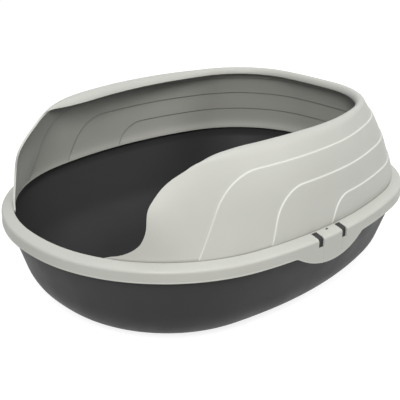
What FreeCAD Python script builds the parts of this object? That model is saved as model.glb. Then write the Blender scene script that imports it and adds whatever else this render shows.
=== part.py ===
import FreeCAD, Part
import math
import os
import re
import Sketcher
from FreeCAD import Placement, Rotation, Vector

# Oval cat litter box: a deep pan, a rim frame that snaps over the pan's edge with one latch
# on each side, and a stepped hood wall, open on top, that stands on the frame.
# Frame of reference: +Z up, z = 0 on the floor, origin under the middle of the oval's bounding
# box. The low entry is at -Y and the tall closed end at +Y. Everything follows one oval line,
# the frame's outer edge, and "inset" is a distance inwards from that line.

DRIVING_SIZES = {
    # the oval outline of tangent arcs
    "half_width": 227.5,
    "half_length": 285.0,
    "side_radius": 566.0,
    "front_end_radius": 300.0,
    "front_end_span": 22.0,
    "back_end_radius": 795.0,
    "back_end_span": 46.6,
    # the pan, whose height is measured up to the frame's lower edge
    "pan_height": 110.0,
    "pan_wall": 2.5,
    "pan_inset": 8.0,
    "pan_lean": 19.0,
    "pan_bowl_radius": 76.0,
    "pan_flange_reach": 3.4,
    # the rim frame
    "frame_wall": 2.5,
    "rim_width": 15.3,
    "rim_height": 18.8,
    "rim_slope": 15.0,
    "rim_corner_radius": 4.0,
    "seat_clearance": 0.3,
    "ledge_drop": 2.5,
    "ledge_gap": 0.6,
    # the hood wall and its tiers
    "hood_wall": 2.5,
    "hood_seam": 0.3,
    "shoulder_inset": 27.0,
    "shoulder_height": 65.0,
    "shoulder_radius": 215.0,
    "crest_height": 130.6,
    "crest_radius": 14.0,
    "lip_turn": 70.0,
    "lip_fade_inset": 56.0,
    "lip_fade_start_y": -166.0,
    "lip_fade_end_y": -92.0,
    "tier_step": 1.2,
    # the entry's edge seen from the side
    "edge_top_y": -100.0,
    "edge_overrun": 0.8,
    "edge_radius": 150.0,
    "edge_turn": 36.0,
    "edge_bend_radius": 85.0,
    "edge_bend_turn": 84.0,
    "foot_tip_y": -248.0,
    "foot_tip_height": 1.2,
    "foot_flare_radius": 26.0,
    # the three step lines seen from the side, from the seat up
    "upper_step_y": -177.0,
    "upper_step_height": 108.0,
    "upper_step_lean": 27.0,
    "upper_step_radius": 72.0,
    "middle_step_y": -88.0,
    "middle_step_height": 79.0,
    "middle_step_lean": 22.0,
    "middle_step_radius": 55.0,
    "lower_step_y": 13.0,
    "lower_step_height": 49.0,
    "lower_step_lean": 25.0,
    "lower_step_radius": 38.0,
    # the latches
    "lobe_drop": 19.3,
    "lobe_half_width": 62.0,
    "lobe_end_radius": 10.0,
    "slot_spacing": 44.0,
    "slot_width": 9.5,
    "slot_inset": 14.0,
    "slot_floor": 3.0,
    "tab_seam": 0.35,
    "catch_clearance": 0.35,
    "catch_height": 3.0,
    "catch_length": 20.0,
    "mark_inset": 12.0,
    "mark_length": 4.5,
    "mark_width": 2.0,
    "mark_depth": 0.8,
    # how far cutting tools run past what they cut
    "overrun": 10.0,
}

doc = FreeCAD.newDocument("litter_box")
sizes = doc.addObject("Spreadsheet::Sheet", "sizes")
for row, (alias, number) in enumerate(DRIVING_SIZES.items(), start=1):
    sizes.set(f"A{row}", alias)
    sizes.set(f"B{row}", str(number))
    sizes.setAlias(f"B{row}", alias)
doc.recompute()


def size(alias):
    """The number in one cell of the sheet."""
    return float(sizes.get(alias))


def cells(formula):
    """A formula in plain aliases, with each alias turned into a reference to its cell."""
    def reference(word):
        return "sizes." + word[0] if word[0] in DRIVING_SIZES else word[0]

    return re.sub(r"[a-z_]+", reference, formula)


def number(formula):
    """The value of such a formula in millimetres or degrees."""
    value = sizes.evalExpression(cells(formula))
    return float(getattr(value, "Value", value))


def bind(item, prop, formula):
    item.setExpression(prop, cells(formula))


# ------------------------------------------------------------------ sketches

SECTION_PLANE = Placement(Vector(), Rotation(Vector(1, 0, 0), 90))
SIDE_PLANE = Placement(Vector(), Rotation(Vector(1, 1, 1), 120))
ORIGIN = -1
START, END, CENTRE = 1, 2, 3


def arc_between(start, end, radius, turn):
    """A minor arc from start to end; turn is 1 for anticlockwise and -1 for clockwise."""
    chord = end - start
    half = chord.Length / 2
    height = math.sqrt(max(radius ** 2 - half ** 2, 0.0))
    side = Vector(-chord.y, chord.x, 0).normalize() * turn
    centre = start + chord / 2 + side * height
    middle = centre - side * radius
    if turn < 0:
        start, end = end, start
    return Part.Arc(start, middle, end)


def pin(sketch, element, point, across, upward):
    """Fixes one point of a sketch at two formulas, measured from the sketch's origin."""
    for kind, formula in (("DistanceX", across), ("DistanceY", upward)):
        row = sketch.addConstraint(
            Sketcher.Constraint(kind, ORIGIN, 1, element, point, number(formula)))
        sketch.setExpression(f"Constraints[{row}]", cells(formula))


def outline(name, plane, corners):
    """A closed sketch. Each corner is (across, up) and, where an arc leaves it, (radius, turn)."""
    sketch = doc.addObject("Sketcher::SketchObject", name)
    sketch.Placement = plane
    spots = [Vector(number(corner[0]), number(corner[1]), 0) for corner in corners]
    for index, corner in enumerate(corners):
        start = spots[index]
        end = spots[(index + 1) % len(spots)]
        if len(corner) == 2:
            sketch.addGeometry(Part.LineSegment(start, end))
            continue
        radius, turn = corner[2]
        sketch.addGeometry(arc_between(start, end, number(radius), turn))
    for index, corner in enumerate(corners):
        before = (index - 1) % len(corners)
        here = first_point(corner)
        sketch.addConstraint(
            Sketcher.Constraint("Coincident", before, last_point(corners[before]), index, here))
        pin(sketch, index, here, corner[0], corner[1])
        if len(corner) == 3:
            radius = corner[2][0]
            row = sketch.addConstraint(Sketcher.Constraint("Radius", index, number(radius)))
            sketch.setExpression(f"Constraints[{row}]", cells(radius))
    return sketch


def first_point(corner):
    """A sketched arc always runs anticlockwise, so a clockwise one starts at its end point."""
    return END if len(corner) == 3 and corner[2][1] < 0 else START


def last_point(corner):
    return START if len(corner) == 3 and corner[2][1] < 0 else END


def corner_arc(place):
    """Radius and centre of the arc that is tangent to the side arc and to one end's arc.

    The end's arc is as wide as its span, and the corner's radius follows from that.
    """
    end = 1 if place == "back" else -1
    side_radius = size("side_radius")
    side_centre = Vector(size("half_width") - side_radius, 0, 0)
    end_radius = size(place + "_end_radius")
    end_centre = Vector(0, end * (size("half_length") - end_radius), 0)
    share = size(place + "_end_span") / end_radius
    outward = Vector(share, end * math.sqrt(1 - share ** 2), 0)
    reach = end_centre + outward * end_radius - side_centre
    radius = (reach.Length ** 2 - side_radius ** 2) / (2 * (reach.dot(outward) - side_radius))
    return radius, end_centre + outward * (end_radius - radius)


def mirrored(spot):
    return Vector(-spot.x, spot.y, 0)


def oval(name, inset, height):
    """The oval line at one inset and height, as tangent arcs in one closed sketch."""
    sketch = doc.addObject("Sketcher::SketchObject", name)
    bind(sketch, "Placement.Base.z", height)
    shrink = number(inset)
    side_radius = size("side_radius") - shrink
    side_centre = Vector(size("half_width") - size("side_radius"), 0, 0)
    joins = {}
    for end, place in ((1, "back"), (-1, "front")):
        corner_radius, centre = corner_arc(place)
        end_radius = size(place + "_end_radius")
        end_centre = Vector(0, end * (size("half_length") - end_radius), 0)
        side_join = side_centre + (centre - side_centre).normalize() * side_radius
        end_join = end_centre + (centre - end_centre).normalize() * (end_radius - shrink)
        joins[place] = (side_join, end_join, corner_radius - shrink, end_radius - shrink)
    back_side, back_end, back_corner_radius, back_end_radius = joins["back"]
    front_side, front_end, front_corner_radius, front_end_radius = joins["front"]
    widest = Vector(size("half_width") - shrink, 0, 0)
    loop = [
        (widest, back_side, side_radius),
        (back_side, back_end, back_corner_radius),
        (back_end, mirrored(back_end), back_end_radius),
        (mirrored(back_end), mirrored(back_side), back_corner_radius),
        (mirrored(back_side), mirrored(front_side), side_radius),
        (mirrored(front_side), mirrored(front_end), front_corner_radius),
        (mirrored(front_end), front_end, front_end_radius),
        (front_end, front_side, front_corner_radius),
        (front_side, widest, side_radius),
    ]
    for start, end, radius in loop:
        sketch.addGeometry(arc_between(start, end, radius, 1))
    return sketch


# ------------------------------------------------------------------ solids

def sweep(name, section):
    """One section carried once round the oval."""
    item = doc.addObject("Part::Sweep", name)
    item.Sections = [section]
    item.Spine = (rim_line, [f"Edge{index + 1}" for index in range(len(rim_line.Geometry))])
    item.Solid = True
    item.Frenet = False
    return item


def slab(name, region):
    """A region seen from the side, carried right across the box."""
    item = doc.addObject("Part::Extrusion", name)
    item.Base = region
    item.DirMode = "Custom"
    item.Dir = Vector(1, 0, 0)
    item.Symmetric = True
    item.Solid = True
    bind(item, "LengthFwd", "2 * (half_width + overrun)")
    return item


def block(name, low, extent):
    """A box from its low corner and its three lengths, all formulas."""
    item = doc.addObject("Part::Box", name)
    for prop, formula in zip(("Length", "Width", "Height"), extent):
        bind(item, prop, formula)
    for axis, formula in zip("xyz", low):
        bind(item, f"Placement.Base.{axis}", formula)
    return item


def cut(name, base, tool):
    item = doc.addObject("Part::Cut", name)
    item.Base = base
    item.Tool = tool
    return item


def common(name, *pieces):
    item = doc.addObject("Part::MultiCommon", name)
    item.Shapes = list(pieces)
    return item


def fuse(name, *pieces):
    item = doc.addObject("Part::MultiFuse", name)
    item.Shapes = list(pieces)
    return item


# ------------------------------------------------------------------ shared lines

RIM_TAN = "tan(rim_slope)"
RIM_COS = "cos(rim_slope)"
SEAT = "rim_height - ledge_drop"
CREST_TOP = "crest_height + edge_overrun"
FOOT = "(rim_width + hood_seam)"
CREST_CENTRE = "(crest_height - crest_radius)"
CURVE_GAP = "(shoulder_radius - crest_radius)"


def across(inset):
    return f"half_width - ({inset})"


def above(height):
    """A height above the frame's lower edge, measured from the floor."""
    return f"pan_height + ({height})"


def crown_underside(inset):
    return f"rim_height - frame_wall / {RIM_COS} - (rim_width - ({inset})) * {RIM_TAN}"


def section(name, corners):
    """A section sketch whose corners are given as inset and height above the frame's edge."""
    return outline(name, SECTION_PLANE,
                   [(across(corner[0]), above(corner[1])) + tuple(corner[2:]) for corner in corners])


def side_view(name, corners):
    return outline(name, SIDE_PLANE,
                   [(corner[0], above(corner[1])) + tuple(corner[2:]) for corner in corners])


rim_line = oval("rim_line", "0", "pan_height")


# ------------------------------------------------------------------ the pan

def make_litter_pan():
    top = f"(- seat_clearance / {RIM_COS})"
    flange_edge = "pan_inset - pan_flange_reach"
    inner = "pan_inset + pan_wall"
    rounding = "pan_bowl_radius * tan((90 - pan_lean) / 2)"
    drop = f"(pan_height - {rounding} * cos(pan_lean))"
    bend = f"pan_inset + {drop} * tan(pan_lean)"
    floor_inset = f"pan_inset + pan_height * tan(pan_lean) + {rounding}"
    wall_section = section("pan_section", [
        (flange_edge, f"{crown_underside(flange_edge)} + {top}"),
        (inner, f"{crown_underside(inner)} + {top}"),
        (inner, "pan_wall * tan(pan_lean / 2)"),
        (f"{bend} + pan_wall * cos(pan_lean)", f"pan_wall * sin(pan_lean) - {drop}",
         ("pan_bowl_radius - pan_wall", -1)),
        (floor_inset, "pan_wall - pan_height"),
        (floor_inset, "0 - pan_height", ("pan_bowl_radius", 1)),
        (bend, f"0 - {drop}"),
        ("pan_inset", "0"),
        ("pan_inset", f"{crown_underside('pan_inset')} + {top} - pan_wall / {RIM_COS}"),
        (flange_edge, f"{crown_underside(flange_edge)} + {top} - pan_wall / {RIM_COS}"),
    ])
    bowl = sweep("pan_bowl", wall_section)
    floor = doc.addObject("Part::Extrusion", "pan_floor")
    floor.Base = oval("pan_floor_line", floor_inset, "0")
    floor.DirMode = "Custom"
    floor.Dir = Vector(0, 0, 1)
    floor.Solid = True
    bind(floor, "LengthFwd", "pan_wall")
    return fuse("litter_pan", bowl, floor)


# ------------------------------------------------------------------ the rim frame

def make_frame_ring():
    """The frame's channel section all round, with its skirt trimmed to the two latch lobes."""
    corner = f"(rim_height - rim_width * {RIM_TAN})"
    half_turn = "tan((90 - rim_slope) / 2)"
    outer = f"(rim_corner_radius * {half_turn})"
    inner = f"((rim_corner_radius - frame_wall) * {half_turn})"
    under = crown_underside("frame_wall")
    frame_section = section("frame_section", [
        ("0", "0 - lobe_drop"),
        ("0", f"{corner} - {outer}", ("rim_corner_radius", 1)),
        (f"{outer} * {RIM_COS}", f"{corner} + {outer} * sin(rim_slope)"),
        ("rim_width", "rim_height"),
        ("rim_width", f"rim_height - frame_wall / {RIM_COS}"),
        (f"frame_wall + {inner} * {RIM_COS}", f"{under} + {inner} * sin(rim_slope)",
         ("rim_corner_radius - frame_wall", -1)),
        ("frame_wall", f"{under} - {inner}"),
        ("frame_wall", "0 - lobe_drop"),
    ])
    lobe_radius = "((lobe_half_width ^ 2 + lobe_drop ^ 2) / (2 * lobe_drop))"
    lobe_centre = f"({lobe_radius} - lobe_drop)"
    reach = f"({lobe_radius} + lobe_end_radius)"
    end = f"sqrt({reach} ^ 2 - ({lobe_centre} + lobe_end_radius) ^ 2)"
    share = f"({lobe_radius} / {reach})"
    join_y = f"{end} * {share}"
    join_height = f"{lobe_centre} - ({lobe_centre} + lobe_end_radius) * {share}"
    past_end = "half_length + overrun"
    trim = side_view("frame_trim_line", [
        (f"0 - ({past_end})", "0"),
        (f"0 - {end}", "0", ("lobe_end_radius", -1)),
        (f"0 - {join_y}", join_height, (lobe_radius, 1)),
        (join_y, join_height, ("lobe_end_radius", -1)),
        (end, "0"),
        (past_end, "0"),
        (past_end, "rim_height + overrun"),
        (f"0 - ({past_end})", "rim_height + overrun"),
    ])
    return common("frame_ring", sweep("frame_channel", frame_section), slab("frame_trim", trim))


def make_ledge():
    """The ledge that carries the hood wall, only as long as the wall's foot."""
    top = SEAT
    near = "pan_inset + pan_wall + ledge_gap"
    far = "rim_width + 2 * hood_seam + hood_wall"
    ledge_section = section("ledge_section", [
        (near, f"{top} - frame_wall"),
        (near, top),
        (far, top),
        (far, f"{top} - frame_wall"),
    ])
    reach = block("ledge_reach",
                  ("0 - half_width", "foot_tip_y", above(f"{top} - frame_wall - overrun")),
                  ("2 * half_width", "half_length - foot_tip_y", "2 * overrun + frame_wall"))
    return common("ledge", sweep("ledge_ring", ledge_section), reach)


def latch_post(name, inset, width, side):
    """A box through the frame at one side, from an inset outwards, centred on y = 0."""
    near = f"half_width - ({inset})"
    low_x = near if side > 0 else "0 - half_width - overrun"
    return block(name,
                 (low_x, f"0 - ({width}) / 2", above("0 - lobe_drop - overrun")),
                 (f"({inset}) + overrun", width, "lobe_drop + rim_height + 2 * overrun"))


def make_slots():
    """The two slots beside each latch tab, across the rim and down its outer face."""
    slots = []
    for side, hand in ((1, "right"), (-1, "left")):
        low_x = "half_width - slot_inset" if side > 0 else "0 - half_width - overrun"
        for place in (1, -1):
            low_y = f"({place}) * slot_spacing / 2 - slot_width / 2"
            slots.append(block(f"slot_{hand}_{'back' if place > 0 else 'front'}",
                               (low_x, low_y, above("slot_floor")),
                               ("slot_inset + overrun", "slot_width", "rim_height + overrun")))
    return slots


def make_rim_frame(ring):
    body = fuse("frame_body", ring, make_ledge())
    gaps = [latch_post(f"tab_gap_{hand}", "slot_inset + tab_seam",
                       "slot_spacing - slot_width + 2 * tab_seam", side)
            for side, hand in ((1, "right"), (-1, "left"))]
    return cut("rim_frame", body, fuse("frame_cuts", *make_slots(), *gaps))


# ------------------------------------------------------------------ the latch tabs

def make_latch_tab(ring):
    """The tab between the slots on the right, with its catch and its small recessed mark."""
    blank = common("tab_blank", ring,
                   latch_post("tab_reach", "slot_inset", "slot_spacing - slot_width", 1))
    flange_edge = "pan_inset - pan_flange_reach"
    flange_foot = (f"{crown_underside(flange_edge)}"
                   f" - (seat_clearance + pan_wall) / {RIM_COS}")
    tip = f"({flange_edge} - catch_clearance)"
    catch = block("catch",
                  (across(tip), "0 - catch_length / 2",
                   above(f"{flange_foot} - catch_clearance - catch_height")),
                  (f"{tip} - frame_wall / 2", "catch_length", "catch_height"))
    mark_top = f"rim_height - (rim_width - mark_inset) * {RIM_TAN}"
    mark = block("mark",
                 (f"{across('mark_inset')} - mark_width / 2", "0 - mark_length / 2",
                  above(f"{mark_top} - mark_depth")),
                 ("mark_width", "mark_length", "mark_depth + overrun"))
    return cut("latch_tab_right", fuse("tab_with_catch", blank, catch), mark)


def make_opposite(item, name):
    mirror = doc.addObject("Part::Mirroring", name)
    mirror.Source = item
    mirror.Normal = Vector(1, 0, 0)
    return mirror


# ------------------------------------------------------------------ the hood wall

def make_hood_region():
    """Side view of everything behind and below the entry's edge."""
    join_y = "(edge_top_y - edge_radius * sin(edge_turn))"
    join_height = f"({CREST_TOP} - edge_radius * (1 - cos(edge_turn)))"
    bend_y = f"{join_y} - edge_bend_radius * (sin(edge_bend_turn) - sin(edge_turn))"
    bend_height = f"{join_height} - edge_bend_radius * (cos(edge_turn) - cos(edge_bend_turn))"
    return side_view("hood_region_line", [
        ("foot_tip_y", SEAT),
        ("foot_tip_y", "rim_height + foot_tip_height", ("foot_flare_radius", 1)),
        (bend_y, bend_height, ("edge_bend_radius", -1)),
        (join_y, join_height, ("edge_radius", -1)),
        ("edge_top_y", CREST_TOP),
        ("half_length + overrun", CREST_TOP),
        ("half_length + overrun", SEAT),
    ])


def make_step_region(step):
    """Side view of everything behind and below one step line."""
    lean = f"{step}_step_lean"
    radius = f"{step}_step_radius"
    top = f"{step}_step_height"
    bend_height = f"({top} - {radius} * (1 - sin({lean})))"
    bend_y = f"({step}_step_y + ({bend_height} - ({SEAT})) * tan({lean}))"
    return side_view(f"{step}_step_line", [
        (f"{step}_step_y", SEAT),
        (bend_y, bend_height, (radius, -1)),
        (f"{bend_y} + {radius} * cos({lean})", top),
        ("half_length + overrun", top),
        ("half_length + overrun", SEAT),
    ])


def wall_centres(tier):
    """Formulas for a tier's lean and the centres of its long curve and of its crest."""
    shoulder = f"(shoulder_inset - {tier} * tier_step)"
    lean = f"atan(({shoulder} - {FOOT}) / (shoulder_height - rim_height))"
    long_inset = f"({shoulder} + shoulder_radius * cos({lean}))"
    long_height = f"(shoulder_height - shoulder_radius * sin({lean}))"
    inwards = f"sqrt({CURVE_GAP} ^ 2 - ({CREST_CENTRE} - {long_height}) ^ 2)"
    return shoulder, lean, long_inset, long_height, inwards


def crest_inset(tier):
    _, _, long_inset, _, inwards = wall_centres(tier)
    return f"({long_inset} - {inwards})"


def make_tier_section(name, tier):
    """The wall's section: a foot, a leaning side, a long curve in and a rolled crest.

    Every tier stands on the same foot, and each tier below the top one stands out by one
    more step from its shoulder up.
    """
    shoulder, lean, long_inset, long_height, inwards = wall_centres(tier)

    def on_join(radius):
        """Where the long curve passes into the crest, at the outer or the inner radius."""
        share = f"({radius}) / {CURVE_GAP}"
        return (f"{long_inset} - {inwards} * {share}",
                f"{long_height} + ({CREST_CENTRE} - {long_height}) * {share}")

    def on_lip(radius):
        return (f"{crest_inset(tier)} + ({radius}) * sin(lip_turn)",
                f"{CREST_CENTRE} + ({radius}) * cos(lip_turn)")

    inner_long = "shoulder_radius - hood_wall"
    inner_crest = "crest_radius - hood_wall"
    return section(name, [
        (FOOT, SEAT),
        (FOOT, "rim_height"),
        (shoulder, "shoulder_height", ("shoulder_radius", 1)),
        (*on_join("shoulder_radius"), ("crest_radius", 1)),
        on_lip("crest_radius"),
        (*on_lip(inner_crest), (inner_crest, -1)),
        (*on_join(inner_long), (inner_long, -1)),
        (f"{shoulder} + hood_wall * cos({lean})", f"shoulder_height - hood_wall * sin({lean})"),
        (f"{FOOT} + hood_wall", "rim_height"),
        (f"{FOOT} + hood_wall", SEAT),
    ])


def oval_point(inset, y):
    """The point on the right-hand front corner of the oval at one inset and one y."""
    corner_radius, centre = corner_arc("front")
    radius = corner_radius - inset
    return Vector(centre.x + math.sqrt(radius ** 2 - (y - centre.y) ** 2), y, 0)


def make_lip_fade():
    """A tool that narrows the rolled lip to nothing towards the entry's edge."""
    full_inset = number(f"{crest_inset(0)} + crest_radius")
    start = oval_point(size("lip_fade_inset"), size("lip_fade_start_y"))
    end = oval_point(full_inset, size("lip_fade_end_y"))
    corners = [start, end, mirrored(end), mirrored(start)]
    line = doc.addObject("Sketcher::SketchObject", "lip_fade_line")
    bind(line, "Placement.Base.z", above("crest_height - 2 * crest_radius"))
    for index, corner in enumerate(corners):
        line.addGeometry(Part.LineSegment(corner, corners[(index + 1) % len(corners)]))
    tool = doc.addObject("Part::Extrusion", "lip_fade")
    tool.Base = line
    tool.DirMode = "Custom"
    tool.Dir = Vector(0, 0, 1)
    tool.Solid = True
    bind(tool, "LengthFwd", "2 * crest_radius + overrun")
    return tool


def make_hood_wall():
    """Four tiers of one shell, each cut to the band between two lines seen from the side."""
    bands = [slab("hood_region", make_hood_region())]
    for step in ("upper", "middle", "lower"):
        bands.append(slab(f"{step}_region", make_step_region(step)))
    tiers = []
    for tier, band in enumerate(bands):
        shell = sweep(f"tier_shell_{tier}", make_tier_section(f"tier_section_{tier}", tier))
        piece = common(f"tier_in_band_{tier}", shell, band)
        if tier + 1 < len(bands):
            piece = cut(f"tier_{tier}", piece, bands[tier + 1])
        tiers.append(piece)
    return cut("hood_wall", fuse("hood_tiers", *tiers), make_lip_fade())


# ------------------------------------------------------------------ the whole box

frame_ring = make_frame_ring()
latch_tab = make_latch_tab(frame_ring)
sub_parts = [
    make_litter_pan(),
    make_rim_frame(frame_ring),
    make_hood_wall(),
    latch_tab,
    make_opposite(latch_tab, "latch_tab_left"),
]
doc.recompute()

for item in doc.Objects:
    if "Invalid" in item.State or "Error" in item.State:
        raise RuntimeError(f"{item.Label} did not build: {item.State}")
for item in sub_parts:
    item.Label = item.Name
    if item.Shape.isNull() or not item.Shape.isValid() or len(item.Shape.Solids) != 1:
        raise RuntimeError(f"{item.Label} is not one valid solid")

os.makedirs("parts", exist_ok=True)
for item in sub_parts:
    item.Shape.exportStep(f"parts/{item.Label}.step")
    box = item.Shape.optimalBoundingBox()
    print(f"{item.Label}: {item.Shape.Volume / 1000:.1f} cm3, "
          f"x {box.XMin:.1f}..{box.XMax:.1f}, y {box.YMin:.1f}..{box.YMax:.1f}, "
          f"z {box.ZMin:.1f}..{box.ZMax:.1f}")
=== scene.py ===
import math

import bmesh
import bpy
from mathutils import Matrix, Vector


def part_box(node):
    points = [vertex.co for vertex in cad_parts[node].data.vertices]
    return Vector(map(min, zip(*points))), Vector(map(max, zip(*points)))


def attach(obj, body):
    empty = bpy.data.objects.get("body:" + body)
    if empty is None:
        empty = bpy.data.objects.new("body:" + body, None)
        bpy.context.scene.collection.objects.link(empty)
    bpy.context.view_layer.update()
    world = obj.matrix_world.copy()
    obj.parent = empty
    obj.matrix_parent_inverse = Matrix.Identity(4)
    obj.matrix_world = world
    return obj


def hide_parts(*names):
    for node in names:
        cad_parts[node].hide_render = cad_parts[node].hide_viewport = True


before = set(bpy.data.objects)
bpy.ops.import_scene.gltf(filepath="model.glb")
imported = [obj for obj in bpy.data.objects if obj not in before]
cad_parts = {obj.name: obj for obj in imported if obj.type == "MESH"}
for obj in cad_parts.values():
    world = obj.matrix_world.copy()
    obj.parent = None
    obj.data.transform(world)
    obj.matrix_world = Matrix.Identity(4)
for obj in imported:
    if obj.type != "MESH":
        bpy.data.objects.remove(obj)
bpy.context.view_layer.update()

# ------------------------------------------------------------------ sizes, in millimetres
# Insets are measured inwards from the oval outline, and heights up from the frame's lower edge.

MM = 0.001


def top_of(node):
    return [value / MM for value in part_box(node)[1]]


HALF_WIDTH = top_of("latch_tab_right")[0]
HALF_LENGTH = top_of("rim_frame")[1]
SIDE_RADIUS = 566.0
END_RADIUS = {"front": 300.0, "back": 795.0}
END_SPAN = {"front": 22.0, "back": 46.6}

WALL = 2.5
RIM_WIDTH = 15.3
RIM_HEIGHT = 18.8
RIM_SLOPE = math.radians(15)
RIM_CORNER = 4.0
SEAT = RIM_HEIGHT - WALL
BASE = top_of("rim_frame")[2] - RIM_HEIGHT
LEDGE_REACH = 2.7
LEDGE_THICK = 1.4
BEAD = 0.35
BEAD_HEIGHT = 1.8
SEAT_CLEARANCE = 0.31

LOBE_DROP = 19.3
LOBE_HALF_WIDTH = 62.0
LOBE_END_RADIUS = 10.0
SLOT_MIDDLE = 22.0
SLOT_WIDTH = 9.5
SLOT_INSET = 14.0
SLOT_FLOOR = 3.0
TAB_SEAM = 0.15
MARK_INSET = 12.0
MARK_SIZE = (2.0, 4.5)
MARK_DEPTH = 0.6
MARK_SLOPE = 0.3

PAN_INSET = 8.0
PAN_FLANGE = 3.4
PAN_LEAN = math.radians(19)
PAN_FRONT_LEAN = math.radians(17.3)
PAN_BOWL = 76.0

FOOT_INSET = RIM_WIDTH + 0.3
FOOT_TIP_Y = -248.0
SHOULDER_INSET = 27.0
SHOULDER_HEIGHT = 65.0
LONG_RADIUS = 215.0
CREST_HEIGHT = top_of("hood_wall")[2] - BASE
CREST_FALL = 2.6
LIP_FOOT = 120.8
LIP_FALL = 1.4
LIP_TURN = math.radians(75)
LIP_START = 8.0
SMALL_ROLL = 4.0
FULL_ENTRY = 7.5
FULL_BACK_Y = -172.0
FULL_FADE = 38.0
FULL_TOP = 124.0
EDGE_DRAW_BACK = 6.0
DRAW_BACK_TOP = 86.0
BACK_LEAN = 8.0
BACK_LEAN_START = 60.0
BACK_LEAN_FADE = 110.0
BACK_LEAN_FOOT = 25.0
TIER_STEP = 1.5
TIER_GROWTH = 7.0

# ------------------------------------------------------------------ the oval


def corner_arc(place):
    """Centre and radius of the arc that is tangent to the side's arc and to one end's arc."""
    end = 1 if place == "back" else -1
    end_radius = END_RADIUS[place]
    side_centre = Vector((HALF_WIDTH - SIDE_RADIUS, 0))
    end_centre = Vector((0, end * (HALF_LENGTH - end_radius)))
    share = END_SPAN[place] / end_radius
    outward = Vector((share, end * math.sqrt(1 - share ** 2)))
    reach = end_centre + outward * end_radius - side_centre
    radius = (reach.length_squared - SIDE_RADIUS ** 2) / (2 * (reach.dot(outward) - SIDE_RADIUS))
    return end_centre + outward * (end_radius - radius), radius, outward


def oval_arcs():
    """The right half from the front to the back: centre, radius, and its normal's two angles."""
    side_centre = Vector((HALF_WIDTH - SIDE_RADIUS, 0))
    arcs = []
    for place, end in (("front", -1), ("back", 1)):
        centre, radius, outward = corner_arc(place)
        end_centre = Vector((0, end * (HALF_LENGTH - END_RADIUS[place])))
        at_end = math.atan2(outward.y, outward.x)
        to_side = centre - side_centre
        at_side = math.atan2(to_side.y, to_side.x)
        arcs.append((end_centre, END_RADIUS[place], end * math.pi / 2, at_end))
        arcs.append((centre, radius, at_end, at_side))
    front_end, front_corner, back_end, back_corner = arcs
    return [
        front_end,
        front_corner,
        (side_centre, SIDE_RADIUS, front_corner[3], back_corner[3]),
        (back_corner[0], back_corner[1], back_corner[3], back_corner[2]),
        (back_end[0], back_end[1], back_end[3], back_end[2]),
    ]


ARCS = oval_arcs()
HALF_LOOP = sum(radius * (last - first) for _, radius, first, last in ARCS)


def ray(along):
    """Centre, radius and normal angle of the outline, that far along it from the front."""
    for centre, radius, first, last in ARCS:
        length = radius * (last - first)
        if along <= length or last == ARCS[-1][3]:
            return centre, radius, first + min(along, length) / radius
        along -= length


def place(along, inset, height):
    centre, radius, angle = ray(along)
    reach = radius - inset
    return Vector((centre.x + reach * math.cos(angle), centre.y + reach * math.sin(angle),
                   BASE + height))


def along_at(y, inset):
    """How far along the outline the ring at this inset has this y."""
    before = 0.0
    for centre, radius, first, last in ARCS:
        sine = (y - centre.y) / (radius - inset)
        if abs(sine) <= 1 and first - 1e-9 <= math.asin(sine) <= last + 1e-9:
            return before + radius * (math.asin(sine) - first)
        before += radius * (last - first)
    return 0.0 if y < 0 else HALF_LOOP


def place_at_y(y, inset, height):
    """A point of the right side's ring at a given y."""
    reach = SIDE_RADIUS - inset
    return Vector((HALF_WIDTH - SIDE_RADIUS + math.sqrt(reach ** 2 - y ** 2), y, BASE + height))


# ------------------------------------------------------------------ walls of even thickness


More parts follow.
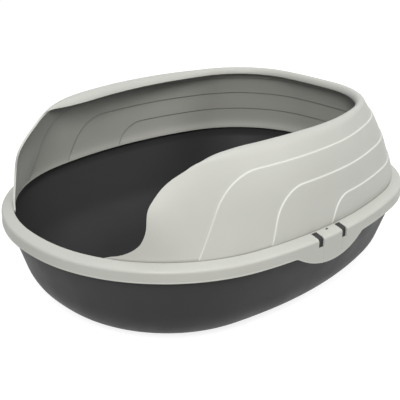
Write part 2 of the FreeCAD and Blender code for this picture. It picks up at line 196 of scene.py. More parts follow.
class Shell:
    """A wall whose points each have a place on the seen face and on the face behind it."""

    def __init__(self):
        self.pairs = []
        self.known = {}
        self.faces = []
        self.paints = []
        self.painted_light_by_point = {}

    def point(self, pair):
        key = tuple(round(value, 3) + 0.0 for spot in pair for value in spot)
        if key not in self.known:
            self.known[key] = len(self.pairs)
            self.pairs.append(pair)
        return self.known[key]

    def face(self, corners, paint=0):
        kept = [corner for index, corner in enumerate(corners) if corner != corners[index - 1]]
        if len(set(kept)) > 2:
            self.faces.append(kept)
            self.paints.append(paint)

    def grid(self, rows, wanted=lambda row, column: True, paint=lambda row, column: 0):
        """Faces between neighbouring rows, each row a list of point pairs."""
        indices = [[self.point(pair) for pair in row] for row in rows]
        for row in range(len(rows) - 1):
            for column in range(len(rows[row]) - 1):
                if wanted(row, column):
                    self.face([indices[row][column], indices[row][column + 1],
                               indices[row + 1][column + 1], indices[row + 1][column]],
                              paint(row, column))

    def add_mirrored(self):
        flip = Vector((-1, 1, 1))
        twins = [self.point(tuple(spot * flip for spot in pair)) for pair in list(self.pairs)]
        self.painted_light_by_point.update({twins[index]: painted_light for index, painted_light in self.painted_light_by_point.items()})
        for corners, paint in list(zip(self.faces, self.paints)):
            self.face([twins[corner] for corner in reversed(corners)], paint)

    def build(self, name, materials, edge_round):
        """A closed mesh object with both faces and its edges, in metres."""
        count = len(self.pairs)
        spots = [pair[0] * MM for pair in self.pairs] + [pair[1] * MM for pair in self.pairs]
        used = {}
        for corners in self.faces:
            for index, corner in enumerate(corners):
                used.setdefault(frozenset((corners[index - 1], corner)), []).append(
                    (corners[index - 1], corner))
        sides = [edges[0] for edges in used.values() if len(edges) == 1]
        faces = [list(corners) for corners in self.faces]
        faces += [[corner + count for corner in reversed(corners)] for corners in self.faces]
        faces += [[end, start, start + count, end + count] for start, end in sides]
        paints = self.paints * 2 + [0] * len(sides)
        mesh = bpy.data.meshes.new(name)
        mesh.from_pydata(spots, [], faces)
        for material in materials:
            mesh.materials.append(material)
        mesh.polygons.foreach_set("material_index", paints)
        # Painted light per point: positive values are a painted highlight, negative values painted
        # shade.
        painted_light = mesh.attributes.new("painted_light", "FLOAT", "POINT")
        for index, (outer, inner) in self.painted_light_by_point.items():
            painted_light.data[index].value = outer
            painted_light.data[count + index].value = inner
        tidy = bmesh.new()
        tidy.from_mesh(mesh)
        bmesh.ops.delete(tidy, geom=[v for v in tidy.verts if not v.link_faces], context="VERTS")
        bmesh.ops.recalc_face_normals(tidy, faces=tidy.faces)
        tidy.to_mesh(mesh)
        tidy.free()
        mesh.shade_smooth()
        piece = bpy.data.objects.new(name, mesh)
        bpy.context.scene.collection.objects.link(piece)
        rounding = piece.modifiers.new("edges", "BEVEL")
        rounding.width = edge_round * MM
        rounding.segments = 2
        rounding.limit_method = "ANGLE"
        rounding.angle_limit = math.radians(50)
        rounding.use_clamp_overlap = True
        shading = piece.modifiers.new("shading", "WEIGHTED_NORMAL")
        shading.keep_sharp = False
        return piece


def mix(start, end, share):
    return start + (end - start) * share


def ease(share):
    share = min(max(share, 0.0), 1.0)
    return share * share * (3 - 2 * share)


def arc_path(centre, radius, first, last, steps):
    """Points on an arc seen from the side, as (y, height); angles in degrees from +y."""
    return [(centre[0] + radius * math.cos(math.radians(mix(first, last, step / steps))),
             centre[1] + radius * math.sin(math.radians(mix(first, last, step / steps))))
            for step in range(steps + 1)]


def even_path(path, steps):
    """The same path in equal steps."""
    lengths = [0.0]
    for start, end in zip(path, path[1:]):
        lengths.append(lengths[-1] + math.dist(start, end))
    result = []
    piece = 0
    for step in range(steps + 1):
        wanted = lengths[-1] * step / steps
        while piece < len(path) - 2 and lengths[piece + 1] < wanted:
            piece += 1
        gap = lengths[piece + 1] - lengths[piece]
        share = (wanted - lengths[piece]) / gap if gap else 0.0
        result.append((mix(path[piece][0], path[piece + 1][0], share),
                       mix(path[piece][1], path[piece + 1][1], share)))
    return result


# ------------------------------------------------------------------ the hood wall

LEAN = math.atan((SHOULDER_INSET - FOOT_INSET) / (SHOULDER_HEIGHT - RIM_HEIGHT))
LONG_INSET = SHOULDER_INSET + LONG_RADIUS * math.cos(LEAN)
LONG_HEIGHT = SHOULDER_HEIGHT - LONG_RADIUS * math.sin(LEAN)
RISE_STEPS = 48
BACK_STEPS = 92
ROLL_STEPS = 18
BAND_STEPS = 8
# Across each step line: distance to the upper side, how much of the step the outer and the
# inner face have taken there, the outer edge's painted highlight and the inner line's painted
# shade.
FLANK = ((-2.4, 1.0, 1.0, 0.0, 0.0), (-1.0, 1.0, 1.0, 0.1, 0.0), (-0.6, 0.95, 1.0, 0.6, 0.8),
         (-0.2, 0.75, 1.0, 1.0, 1.0), (0.2, 0.42, 1.0, 1.0, 1.0), (0.5, 0.18, 0.0, 0.8, 1.0),
         (0.9, 0.04, 0.0, 0.3, 0.8), (1.3, 0.0, 0.0, 0.0, 0.0), (2.6, 0.0, 0.0, 0.0, 0.0))


def wall_face(height):
    """Inset of the hood wall's face, and how far that face tilts upwards."""
    if height <= SHOULDER_HEIGHT:
        return FOOT_INSET + (height - RIM_HEIGHT) * math.tan(LEAN), LEAN
    tilt = math.asin((height - LONG_HEIGHT) / LONG_RADIUS)
    return LONG_INSET - LONG_RADIUS * math.cos(tilt), tilt


def sway(y, height, lean=1.0):
    """How much further in the wall stands: fuller beside the entry, leaning more at the back."""
    level = (height - RIM_HEIGHT) / (FULL_TOP - RIM_HEIGHT)
    fuller = ease((FULL_BACK_Y - y) / FULL_FADE) * math.sin(math.pi * min(max(level, 0), 1)) ** 1.2
    leaning = ease((y - BACK_LEAN_START) / BACK_LEAN_FADE)
    leaning *= max((height - BACK_LEAN_FOOT) / (CREST_HEIGHT - BACK_LEAN_FOOT), 0.0)
    return BACK_LEAN * leaning * lean - FULL_ENTRY * fuller


def wall_at(y, height):
    """Inset of the hood wall's face at a place seen from the side."""
    return wall_face(height)[0] + sway(y, height)


def place_wall(along, inset, height, lean=1.0):
    y = place(along, inset, height).y
    return place(along, inset + sway(y, height, lean), height)


def wall_pair(along, height, outer_tiers, inner_tiers):
    inset, tilt = wall_face(height)
    growth = 1 - math.exp(-max(height - RIM_HEIGHT, 0.0) / TIER_GROWTH)
    return tuple(place_wall(along, inset + depth * math.cos(tilt), height - depth * math.sin(tilt))
                 for depth in (-outer_tiers * TIER_STEP * growth,
                               WALL - inner_tiers * TIER_STEP * growth))


class Roll:
    """The rolled rim of the hood where its top is at one height."""

    def __init__(self, top, foot):
        self.radius = max((top - foot) / (1 - math.cos(LIP_TURN)), SMALL_ROLL)
        beyond = math.acos(1 - max(top - foot, 0.0) / self.radius)
        share = ease((top - foot) / LIP_START + 1)
        gap = LONG_RADIUS - self.radius
        self.first = math.asin((top - LONG_HEIGHT) / LONG_RADIUS)
        for _ in range(12):
            turn = share * (math.pi / 2 - self.first)
            self.height = top - self.radius * math.sin(self.first + turn)
            self.first = math.asin((self.height - LONG_HEIGHT) / gap)
        self.inset = LONG_INSET - gap * math.cos(self.first)
        self.crown = self.first + turn
        self.last = self.crown + beyond

    def spot(self, angle, radius):
        return (self.inset - radius * math.cos(angle), self.height + radius * math.sin(angle))


def crest_roll(y, height):
    """The roll at one y, where both the crest and its lip fall slightly towards the back."""
    fall = ease((y + 50.0) / 180.0)
    return Roll(height - CREST_FALL * fall, LIP_FOOT - LIP_FALL * fall)


def edge_line():
    """The entry's edge from the foot's tip up to the level crest, seen from the side."""
    top = (-78.5, CREST_HEIGHT)
    top_turn, top_radius = 5.0, 450.0
    turn, radius = 36.0, 150.0
    bend_turn, bend_radius = 84.0, 85.0
    flare = 26.0
    tip = (FOOT_TIP_Y, RIM_HEIGHT + 1.2)
    level_centre = (top[0], top[1] - top_radius)
    level = arc_path(level_centre, top_radius, 90 + top_turn, 90, 20)
    at_level = math.radians(90 + top_turn)
    big_centre = (level[0][0] - radius * math.cos(at_level),
                  level[0][1] - radius * math.sin(at_level))
    big = arc_path(big_centre, radius, 90 + turn, 90 + top_turn, 30)
    along_join = math.radians(90 + turn)
    bend_centre = (big[0][0] - bend_radius * math.cos(along_join),
                   big[0][1] - bend_radius * math.sin(along_join))
    bend = arc_path(bend_centre, bend_radius, 90 + bend_turn, 90 + turn, 30)
    half = math.dist(tip, bend[0]) / 2
    off = math.sqrt(flare ** 2 - half ** 2) / (2 * half)
    flare_centre = ((tip[0] + bend[0][0]) / 2 - (bend[0][1] - tip[1]) * off,
                    (tip[1] + bend[0][1]) / 2 + (bend[0][0] - tip[0]) * off)
    angles = [math.degrees(math.atan2(spot[1] - flare_centre[1], spot[0] - flare_centre[0]))
              for spot in (tip, bend[0])]
    curl = arc_path(flare_centre, flare, *angles, 24)
    path = [(FOOT_TIP_Y, RIM_HEIGHT)] + curl + bend[1:] + big[1:] + level[1:]
    result = []
    for y, height in path:
        level = min(max((height - tip[1]) / (DRAW_BACK_TOP - tip[1]), 0.0), 1.0)
        result.append((y + EDGE_DRAW_BACK * math.sin(math.pi * level) ** 2, height))
    return result


def step_line(foot, top, lean, radius):
    """One step line from the seat up to where it runs level, seen from the side."""
    lean_angle = math.radians(lean)
    bend_height = top - radius * (1 - math.sin(lean_angle))
    bend_y = foot + (bend_height - SEAT) * math.tan(lean_angle)
    centre = (bend_y + radius * math.cos(lean_angle), top - radius)
    start = (foot + (RIM_HEIGHT - SEAT) * math.tan(lean_angle), RIM_HEIGHT)
    return [start] + arc_path(centre, radius, 180 - lean, 90, 30)


def step_rows(foot, top, lean, radius, tier):
    """Rows of (along, height, tiers) that carry one step between two tiers."""
    rise = even_path(step_line(foot, top, lean, radius), RISE_STEPS)
    line = [(along_at(y, wall_at(y, height)), height) for y, height in rise]
    start = line[-1][0]
    line += [(mix(start, HALF_LOOP, step / BACK_STEPS), top) for step in range(1, BACK_STEPS + 1)]
    rows = []
    for away, outer_share, inner_share, painted_light, painted_shade in FLANK:
        row = []
        for index, (along, height) in enumerate(line):
            before = line[max(index - 1, 0)]
            after = line[min(index + 1, len(line) - 1)]
            run, rise_by = after[0] - before[0], after[1] - before[1]
            length = math.hypot(run, rise_by)
            aside, up = (-1.0, 0.0) if index == 0 else (-rise_by / length, run / length)
            # The first point, at the wall's foot, gets -0.8: painted shade along the crease
            # between wall and rim.
            row.append((along + away * aside, height + away * up,
                        tier - 1 + outer_share, tier - 1 + inner_share,
                        painted_light if index else -0.8, painted_shade))
        rows.append(row)
    return rows


def make_hood_wall(material):
    steps = [step_rows(13.0, 49.0, 25.0, 38.0, 3), step_rows(-88.0, 79.0, 22.0, 55.0, 2),
             step_rows(-177.0, 108.0, 27.0, 72.0, 1)]
    edge = even_path(edge_line(), RISE_STEPS)
    rolls = []
    for y, height in edge:
        roll = crest_roll(y, height) if height > SHOULDER_HEIGHT else None
        inset = roll.spot(roll.crown, roll.radius)[0] if roll else wall_face(height)[0]
        inset += sway(y, height)
        rolls.append((along_at(y, inset), height, roll))
    start = rolls[-1][0]
    crest_inset = rolls[-1][2].inset
    for step in range(1, BACK_STEPS + 1):
        along = mix(start, HALF_LOOP, step / BACK_STEPS)
        rolls.append((along, CREST_HEIGHT,
                      crest_roll(place(along, crest_inset, 0).y, CREST_HEIGHT)))
    rim = [(along, roll.spot(roll.first, roll.radius)[1] if roll else height, 0.0, 0.0, 0.0, 0.0)
           for along, height, roll in rolls]
    # The foot row gets -0.8: painted shade in the crease where the wall meets the rim.
    floor_row = [(spot[0], RIM_HEIGHT, 3.0, 3.0, -0.8, 0.0) for spot in steps[0][0]]
    above_floor = [(spot[0], RIM_HEIGHT + 1.6, 3.0, 3.0, 0.0, 0.0) for spot in steps[0][0]]

    levels = [floor_row, above_floor]
    borders = [steps[0], steps[1], steps[2], [rim]]
    for border in borders:
        low, high = levels[-1], border[0]
        for step in range(1, BAND_STEPS):
            share = step / BAND_STEPS
            # Each level's first point, at the wall's foot, gets -0.8 of painted shade.
            levels.append([(mix(a[0], b[0], share), mix(a[1], b[1], share), a[2], a[3],
                            0.0 if column else -0.8, 0.0)
                           for column, (a, b) in enumerate(zip(low, high))])
        levels.extend(border)
    rows = [[wall_pair(*spot[:4]) for spot in level] for level in levels]
    for step in range(1, ROLL_STEPS + 1):
        row = []
        for along, height, roll in rolls:
            if roll is None:
                row.append(wall_pair(along, height, 0.0, 0.0))
                continue
            angle = mix(roll.first, roll.last, step / ROLL_STEPS)
            row.append(tuple(place_wall(along, *roll.spot(angle, radius), 1 - step / ROLL_STEPS)
                             for radius in (roll.radius, roll.radius - WALL)))
        rows.append(row)
    shell = Shell()
    # Each point's painted light: the outer face takes the painted highlight (or painted shade at
    # the foot), the inner face the painted shade of its step lines.
    for row, level in zip(rows, levels):
        for pair, spot in zip(row, level):
            shell.painted_light_by_point[shell.point(pair)] = (spot[4], -spot[5])
    shell.grid(rows)
    foot = [level[0] for level in reversed(levels[1:])] + floor_row
    foot_inner = FOOT_INSET + WALL
    top_row = [wall_pair(*spot[:4]) for spot in foot]
    bottom_row = [(place(spot[0], FOOT_INSET, SEAT), place(spot[0], foot_inner, SEAT))
                  for spot in foot]
    shell.grid([bottom_row, top_row])
    shell.add_mirrored()
    return shell.build("hood_wall_shell", [material], 0.7)


# ------------------------------------------------------------------ the rim frame and its tabs


def lobe_bottom(y):
    """Height of the skirt's lower edge, which drops in a lobe at each latch."""
    radius = (LOBE_HALF_WIDTH ** 2 + LOBE_DROP ** 2) / (2 * LOBE_DROP)
    centre = radius - LOBE_DROP
    reach = radius + LOBE_END_RADIUS
    end = math.sqrt(reach ** 2 - (centre + LOBE_END_RADIUS) ** 2)
    if abs(y) >= end:
        return 0.0
    if abs(y) > end * radius / reach:
        return math.sqrt(LOBE_END_RADIUS ** 2 - (end - abs(y)) ** 2) - LOBE_END_RADIUS
    return centre - math.sqrt(radius ** 2 - y ** 2)


def crown_height(inset):
    return RIM_HEIGHT - (RIM_WIDTH - inset) * math.tan(RIM_SLOPE)


def rim_section(first_inset, bottom):
    """(seen inset, height) and (hidden inset, height) from the crown down to the lower edge."""
    turned = RIM_CORNER * math.tan((math.pi / 2 - RIM_SLOPE) / 2)
    centre = (BEAD + RIM_CORNER, crown_height(BEAD) - turned)
    under = (WALL * math.sin(RIM_SLOPE), -WALL * math.cos(RIM_SLOPE))
    corner_start = BEAD + turned * math.cos(RIM_SLOPE)
    half_mark = MARK_SIZE[0] / 2
    insets = [first_inset, MARK_INSET + half_mark, MARK_INSET + half_mark - MARK_SLOPE,
              MARK_INSET - half_mark + MARK_SLOPE, MARK_INSET - half_mark, 7.5, corner_start]
    section = [((inset, crown_height(inset)), (inset + under[0], crown_height(inset) + under[1]))
               for inset in insets]
    for step in range(1, 7):
        angle = mix(math.pi / 2 - RIM_SLOPE, 0.0, step / 6)
        section.append(tuple((centre[0] - radius * math.cos(angle),
                              centre[1] + radius * math.sin(angle))
                             for radius in (RIM_CORNER, RIM_CORNER - WALL)))
    heights = [SLOT_FLOOR + 2.5, SLOT_FLOOR]
    heights += [mix(SLOT_FLOOR, bottom + BEAD_HEIGHT, step / 4) for step in range(1, 5)]
    section += [((BEAD, height), (BEAD + WALL, height)) for height in heights]
    for share, swell in ((0.25, 0.5), (0.5, 1.0), (0.75, 1.0), (1.0, 0.55)):
        height = bottom + BEAD_HEIGHT * (1 - share)
        section.append(((BEAD * (1 - swell), height), (BEAD + WALL, height)))
    return section


CORNER_ROWS = 7
SLOT_ROW = 14


def side_columns(low, high, breaks, spacing):
    """Values of y from low to high, evenly between the given breaks."""
    stops = [low] + [value for value in sorted(breaks) if low < value < high] + [high]
    columns = [low]
    for start, end in zip(stops, stops[1:]):
        count = max(1, round((end - start) / spacing))
        columns += [mix(start, end, step / count) for step in range(1, count + 1)]
    return columns


def make_rim_frame(material):
    zone = 76.0
    slot_near = SLOT_MIDDLE - SLOT_WIDTH / 2
    slot_far = SLOT_MIDDLE + SLOT_WIDTH / 2
    tab_edge = slot_near + TAB_SEAM
    ys = side_columns(-zone, zone, [-slot_far, -tab_edge, tab_edge, slot_far], 2.0)
    front_end = along_at(-zone, 0.0)
    back_start = along_at(zone, 0.0)
    ledge_start = along_at(FOOT_TIP_Y, RIM_WIDTH)
    fronts = (side_columns(0.0, front_end, [ledge_start], 5.0)[:-1])
    backs = side_columns(back_start, HALF_LOOP, [], 5.0)[1:]
    columns = [(along, None) for along in fronts] + [(None, y) for y in ys]
    columns += [(along, None) for along in backs]

    def spot(column, inset, height):
        along, y = column
        if y is None:
            return place(along, inset, height)
        return place_at_y(y, inset, height)

    def rows_from(first_inset):
        sections = [rim_section(first_inset, lobe_bottom(y) if y is not None else 0.0)
                    for _, y in columns]
        return [[tuple(spot(column, *side) for side in section[row])
                 for column, section in zip(columns, sections)]
                for row in range(len(sections[0]))]

    def y_range(column):
        return columns[column][1], columns[column + 1][1]

    def in_gap(column, edge):
        start, end = y_range(column)
        return start is not None and end is not None and abs(start + end) / 2 < edge

    def keeps(row, column):
        if in_gap(column, tab_edge):
            return False
        return row >= SLOT_ROW or not in_gap(column, slot_far)

    shell = Shell()
    outward = rows_from(SLOT_INSET)
    shell.grid(outward, keeps)
    ledge_tip = RIM_WIDTH + LEDGE_REACH
    tab_end = SLOT_INSET + TAB_SEAM
    inner_edge = [
        ((ledge_tip, SEAT), (ledge_tip, SEAT - LEDGE_THICK)),
        ((RIM_WIDTH, SEAT), (RIM_WIDTH - 1.2, SEAT - LEDGE_THICK)),
        ((RIM_WIDTH, RIM_HEIGHT), (RIM_WIDTH - 1.0, crown_height(RIM_WIDTH) - 2.9)),
        ((tab_end, crown_height(tab_end)), (RIM_WIDTH - 1.1, crown_height(RIM_WIDTH) - 2.87)),
    ]
    inner_rows = [[tuple(spot(column, *side) for side in pair) for column in columns]
                  for pair in inner_edge]
    inner_rows.append(outward[0])

    def keeps_inner(row, column):
        if row == 0:
            return columns[column][0] is None or columns[column][0] >= ledge_start - 1e-6
        return row < len(inner_rows) - 2 or not in_gap(column, tab_edge)

    shell.grid(inner_rows, keeps_inner)
    shell.add_mirrored()
    return shell.build("rim_frame_shell", [material], 0.25)


def make_latch_tab(name, side, material, dark):
    half = SLOT_MIDDLE - SLOT_WIDTH / 2
    half_mark = MARK_SIZE[1] / 2
    breaks = [-half_mark, MARK_SLOPE - half_mark, half_mark - MARK_SLOPE, half_mark]
    ys = side_columns(-half, half, breaks, 2.0)
    sections = [rim_section(SLOT_INSET, lobe_bottom(y)) for y in ys]
    rows = [[tuple(place_at_y(y, *face) for face in section[row])
             for y, section in zip(ys, sections)] for row in range(len(sections[0]))]
    for row in (2, 3):
        for column, y in enumerate(ys):
            if abs(y) <= half_mark - MARK_SLOPE + 1e-6:
                seen, hidden = rows[row][column]
                rows[row][column] = (seen - Vector((0, 0, MARK_DEPTH)), hidden)

    # The recess's faces are painted near black: painted shade standing for a small hole into the
    # dark hollow under the rim.
    def paint(row, column):
        return int(1 <= row <= 3 and abs(ys[column] + ys[column + 1]) / 2 < half_mark)

    shell = Shell()
    shell.grid(rows, paint=paint)
    catch_face = RIM_SECTION_CATCH
    shell.grid([[tuple(place_at_y(y, *face) for face in pair) for y in (-10.0, 0.0, 10.0)]
                for pair in catch_face])
    if side < 0:
        flip = Vector((-1, 1, 1))
        shell.pairs = [tuple(spot * flip for spot in pair) for pair in shell.pairs]
    return shell.build(name, [material, dark], 0.25)


# The catch inside a tab, as (upper face, lower face) from the skirt to the catch's tip.
CATCH_TOP = crown_height(PAN_INSET - PAN_FLANGE) - 2 * WALL / math.cos(RIM_SLOPE) - 0.66
RIM_SECTION_CATCH = [
    ((1.25, CATCH_TOP), (1.25, CATCH_TOP - 3.0)),
    ((3.4, CATCH_TOP), (3.4, CATCH_TOP - 2.6)),
    ((4.25, CATCH_TOP - 0.1), (4.25, CATCH_TOP - 1.6)),
]


# ------------------------------------------------------------------ the pan


def pan_section(pan_lean):
    """(inner face) and (outer face) from the flange's edge down to the flat floor."""
    flange = PAN_INSET - PAN_FLANGE
    inner = PAN_INSET + WALL

    def top(inset):
        return crown_height(inset) - (WALL + SEAT_CLEARANCE) / math.cos(RIM_SLOPE)

    rounding = PAN_BOWL * math.tan((math.pi / 2 - pan_lean) / 2)
    drop = BASE - rounding * math.cos(pan_lean)
    bend = PAN_INSET + drop * math.tan(pan_lean)
    floor_inset = PAN_INSET + BASE * math.tan(pan_lean) + rounding
    thick = WALL / math.cos(RIM_SLOPE)
    section = [((flange, top(flange)), (flange, top(flange) - thick))]
    section.append(((mix(flange, inner, 0.6), top(mix(flange, inner, 0.6))),
                    (PAN_INSET, top(PAN_INSET) - thick)))
    section.append(((inner, top(inner)), (PAN_INSET, top(PAN_INSET) - thick - 1.5)))
    section.append(((inner, 5.0), (PAN_INSET, 4.0)))
    lean_in = (math.cos(pan_lean) * WALL, math.sin(pan_lean) * WALL)
    start_outer = (PAN_INSET, 0.0)
    start_inner = (inner, WALL * math.tan(pan_lean / 2))
    end_outer = (bend, -drop)
    end_inner = (bend + lean_in[0], lean_in[1] - drop)
    wall_steps = 18
    for step in range(wall_steps + 1):
        share = step / wall_steps
        section.append(tuple((mix(a[0], b[0], share), mix(a[1], b[1], share))
                             for a, b in ((start_inner, end_inner), (start_outer, end_outer))))
    centre = (floor_inset, PAN_BOWL - BASE)
    bowl_steps = 20
    for step in range(1, bowl_steps + 1):
        angle = mix(-pan_lean, -math.pi / 2, step / bowl_steps)
        section.append(tuple((centre[0] - radius * math.cos(angle),
                              centre[1] + radius * math.sin(angle))
                             for radius in (PAN_BOWL - WALL, PAN_BOWL)))
    return section


def make_litter_pan(material):
    columns = side_columns(0.0, HALF_LOOP, [], 5.0)
    sections = []
    for along in columns:
        forward = ease(-(place(along, PAN_INSET, 0.0).y + 60.0) / 140.0)
        sections.append(pan_section(mix(PAN_LEAN, PAN_FRONT_LEAN, forward)))
    rows = [[tuple(place(along, *face) for face in section[row])
             for along, section in zip(columns, sections)] for row in range(len(sections[0]))]
    rim = rows[-1]
    for step in range(1, 9):
        share = 1 - step / 8
        rows.append([tuple(Vector((spot.x * share, spot.y * share, spot.z)) for spot in pair)
                     for pair in rim])
    shell = Shell()
    shell.grid(rows)
    shell.add_mirrored()
    return shell.build("litter_pan_shell", [material], 0.6)


def make_lugs(material):
    """The pan's dark lugs that fill the slots beside each tab."""
    drop = 0.4
    reach = 3.05
    foot = SLOT_FLOOR + 0.2
    ends = [((13.6, crown_height(13.6) - drop), (13.6, 13.0)),
            ((9.0, crown_height(9.0) - drop), (9.0, 12.0)),
            ((5.6, crown_height(5.6) - drop), (6.0, 11.0)),
            ((4.1, crown_height(4.6) - drop - 0.3), (5.4, 10.4)),
            ((3.3, crown_height(4.6) - drop - 1.2), (5.2, 9.8)),
            ((reach, crown_height(4.6) - drop - 2.6), (5.2, 9.0)),
            ((reach, foot), (5.2, foot))]
    shell = Shell()
    half = SLOT_WIDTH / 2 - 0.3
    for middle in (-SLOT_MIDDLE, SLOT_MIDDLE):
        shell.grid([[tuple(place_at_y(y, *face) for face in pair)
                     for y in (middle - half, middle, middle + half)] for pair in ends])
    shell.add_mirrored()
    return shell.build("slot_lugs", [material], 0.2)


# ------------------------------------------------------------------ materials


def plastic(name, colour, roughness, specular, grain, painted_light_strength):
    """Moulded plastic: a fine spark-eroded grain, faint mottling, and painted highlights and
    painted shade taken from a per-point attribute.
    """
    material = bpy.data.materials.new(name)
    material.use_nodes = True
    nodes, links = material.node_tree.nodes, material.node_tree.links
    nodes.clear()
    output = nodes.new("ShaderNodeOutputMaterial")
    shader = nodes.new("ShaderNodeBsdfPrincipled")
    shader.inputs["Specular IOR Level"].default_value = specular
    links.new(shader.outputs["BSDF"], output.inputs["Surface"])
    where = nodes.new("ShaderNodeTexCoord")

    def noise(scale, detail):
        node = nodes.new("ShaderNodeTexNoise")
        node.inputs["Scale"].default_value = scale
        node.inputs["Detail"].default_value = detail
        links.new(where.outputs["Object"], node.inputs["Vector"])
        return node

    def spread(source, low, high, into_low, into_high):
        node = nodes.new("ShaderNodeMapRange")
        for socket, value in (("From Min", low), ("From Max", high),
                              ("To Min", into_low), ("To Max", into_high)):
            node.inputs[socket].default_value = value
        links.new(source, node.inputs["Value"])
        return node.outputs["Result"]

    mottle = noise(9.0, 3.0)
    tint = nodes.new("ShaderNodeMix")
    tint.data_type = "RGBA"
    tint.inputs["A"].default_value = (*[value * 0.97 for value in colour], 1)
    tint.inputs["B"].default_value = (*[min(value * 1.03, 1) for value in colour], 1)
    links.new(spread(mottle.outputs["Fac"], 0.3, 0.7, 0.0, 1.0), tint.inputs["Factor"])
    # The per-point attribute paints light into the colour: negative values darken it as painted
    # shade, positive values lighten it as a painted highlight.
    edges = nodes.new("ShaderNodeAttribute")
    edges.attribute_name = "painted_light"
    # Painted shade: the colour darkened towards 0.3 of itself in the inner step lines and at the
    # wall's foot.
    painted_shade = nodes.new("ShaderNodeMix")
    painted_shade.data_type = "RGBA"
    painted_shade.inputs["B"].default_value = (*[value * 0.3 for value in colour], 1)
    links.new(spread(edges.outputs["Fac"], 0.0, -1.0, 0.0, painted_light_strength), painted_shade.inputs["Factor"])
    # Painted highlight: the colour lightened a third of the way towards white on the step edges.
    painted_highlight = nodes.new("ShaderNodeMix")
    painted_highlight.data_type = "RGBA"
    painted_highlight.inputs["B"].default_value = (*[min(mix(value, 1.0, 0.35), 1) for value in colour], 1)
    links.new(spread(edges.outputs["Fac"], 0.0, 1.0, 0.0, painted_light_strength), painted_highlight.inputs["Factor"])
    links.new(tint.outputs["Result"], painted_shade.inputs["A"])
    links.new(painted_shade.outputs["Result"], painted_highlight.inputs["A"])
    links.new(painted_highlight.outputs["Result"], shader.inputs["Base Color"])
    sheen = noise(35.0, 2.0)
    links.new(spread(sheen.outputs["Fac"], 0.3, 0.7, roughness - 0.04, roughness + 0.04),
              shader.inputs["Roughness"])
    fine = noise(1400.0, 2.0)
    bump = nodes.new("ShaderNodeBump")
    bump.inputs["Strength"].default_value = grain
    bump.inputs["Distance"].default_value = 0.0002
    links.new(fine.outputs["Fac"], bump.inputs["Height"])
    links.new(bump.outputs["Normal"], shader.inputs["Normal"])
    return material


# The last number sets how strongly the painted highlight and painted shade show.
hood_plastic = plastic("hood_plastic_satin", (0.485, 0.485, 0.45), 0.45, 0.35, 0.25, 0.7)
pan_plastic = plastic("pan_plastic_satin", (0.040, 0.040, 0.042), 0.5, 0.15, 0.25, 0.2)
# Near black for the tab's recess: painted shade standing for a small hole into the hollow under
# the rim.
painted_hole_shade = plastic("painted_hole_shade", (0.045, 0.05, 0.06), 0.5, 0.4, 0.2, 0.0)

# ------------------------------------------------------------------ the pieces

wall_piece = make_hood_wall(hood_plastic)
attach(wall_piece, "hood")
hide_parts("hood_wall")

rim_piece = make_rim_frame(hood_plastic)
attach(rim_piece, "hood")
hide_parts("rim_frame")

for side, hand in ((1, "right"), (-1, "left")):
    tab = make_latch_tab(f"latch_tab_{hand}_shell", side, hood_plastic, painted_hole_shade)
    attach(tab, f"latch_{hand}")
    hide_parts(f"latch_tab_{hand}")

pan_piece = make_litter_pan(pan_plastic)
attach(pan_piece, "pan")
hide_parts("litter_pan")

lugs_piece = make_lugs(pan_plastic)
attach(lugs_piece, "pan")

# ------------------------------------------------------------------ camera, light and floor

scene = bpy.context.scene
scene.view_settings.view_transform = "Standard"

camera_data = bpy.data.cameras.new("camera")
camera_data.sensor_width = 36.0
camera_data.lens = 77.13
camera = bpy.data.objects.new("camera", camera_data)
scene.collection.objects.link(camera)
back = Vector((0.67316, -0.63162, 0.38459)).normalized()
right = Vector((0.68425, 0.72925, 0.0)).normalized()
up = back.cross(right)
turn = Matrix((right, up, back)).transposed().to_4x4()
camera.matrix_world = Matrix.Translation(Vector((0.80409, -0.76441, 0.56265))) @ turn
scene.camera = camera


def shown_to_camera(tree):
    """1 for the camera's rays and for mirrored and refracted rays, otherwise 0."""
    paths = tree.nodes.new("ShaderNodeLightPath")
    seen = tree.nodes.new("ShaderNodeMath")
    seen.operation = "MAXIMUM"
    tree.links.new(paths.outputs["Is Camera Ray"], seen.inputs[0])
    either = tree.nodes.new("ShaderNodeMath")
    either.operation = "MAXIMUM"
    tree.links.new(paths.outputs["Is Glossy Ray"], either.inputs[0])
    tree.links.new(paths.outputs["Is Transmission Ray"], either.inputs[1])
    tree.links.new(either.outputs[0], seen.inputs[1])
    return seen.outputs[0]


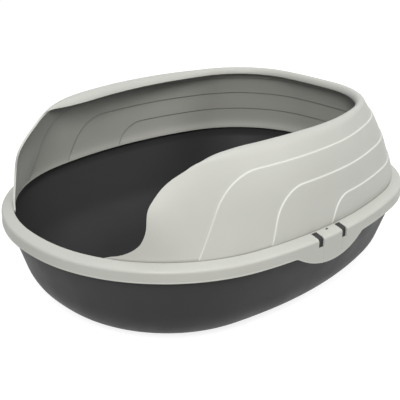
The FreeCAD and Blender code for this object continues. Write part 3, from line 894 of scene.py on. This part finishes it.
world = bpy.data.worlds.new("studio")
scene.world = world
world.use_nodes = True
tree = world.node_tree
tree.nodes.clear()
output = tree.nodes.new("ShaderNodeOutputWorld")
ambient = tree.nodes.new("ShaderNodeBackground")
ambient.inputs["Color"].default_value = (0.95, 0.98, 1.0, 1)
ambient.inputs["Strength"].default_value = 0.4
white = tree.nodes.new("ShaderNodeBackground")
white.inputs["Color"].default_value = (1, 1, 1, 1)
white.inputs["Strength"].default_value = 1.0
blend = tree.nodes.new("ShaderNodeMixShader")
tree.links.new(shown_to_camera(tree), blend.inputs["Fac"])
tree.links.new(ambient.outputs[0], blend.inputs[1])
tree.links.new(white.outputs[0], blend.inputs[2])
tree.links.new(blend.outputs[0], output.inputs["Surface"])


def area_light(name, spot, target, extent, power, tint):
    data = bpy.data.lights.new(name, "AREA")
    data.shape = "RECTANGLE"
    data.size, data.size_y = extent
    data.energy = power
    data.color = tint
    lamp = bpy.data.objects.new(name, data)
    scene.collection.objects.link(lamp)
    aim = Vector(target) - Vector(spot)
    lamp.rotation_euler = aim.to_track_quat("-Z", "Y").to_euler()
    lamp.location = spot
    return lamp


area_light("key", (1.1, -1.3, 1.35), (0, 0, 0.15), (0.5, 0.5), 25, (1.0, 0.985, 0.96))
area_light("side", (1.3, 0.9, 1.2), (0, 0, 0.15), (0.5, 0.5), 9, (1.0, 0.985, 0.96))
area_light("top", (0.0, 0.2, 1.9), (0, 0, 0.1), (1.6, 1.6), 12, (0.96, 1.0, 0.99))

floor_mesh = bpy.data.meshes.new("floor")
floor_mesh.from_pydata([(-6, -6, 0), (6, -6, 0), (6, 6, 0), (-6, 6, 0)], [], [(0, 1, 2, 3)])
floor = bpy.data.objects.new("floor", floor_mesh)
scene.collection.objects.link(floor)
floor.location.z = -0.0004
floor_material = bpy.data.materials.new("floor_white")
floor_material.use_nodes = True
floor_tree = floor_material.node_tree
floor_tree.nodes.clear()
floor_out = floor_tree.nodes.new("ShaderNodeOutputMaterial")
matte = floor_tree.nodes.new("ShaderNodeBsdfDiffuse")
matte.inputs["Color"].default_value = (0.35, 0.35, 0.35, 1)
glow = floor_tree.nodes.new("ShaderNodeEmission")
both = floor_tree.nodes.new("ShaderNodeAddShader")
floor_tree.links.new(shown_to_camera(floor_tree), glow.inputs["Strength"])
glow.inputs["Color"].default_value = (0.85, 0.85, 0.85, 1)
floor_tree.links.new(matte.outputs[0], both.inputs[0])
floor_tree.links.new(glow.outputs[0], both.inputs[1])
floor_tree.links.new(both.outputs[0], floor_out.inputs["Surface"])
floor_mesh.materials.append(floor_material)
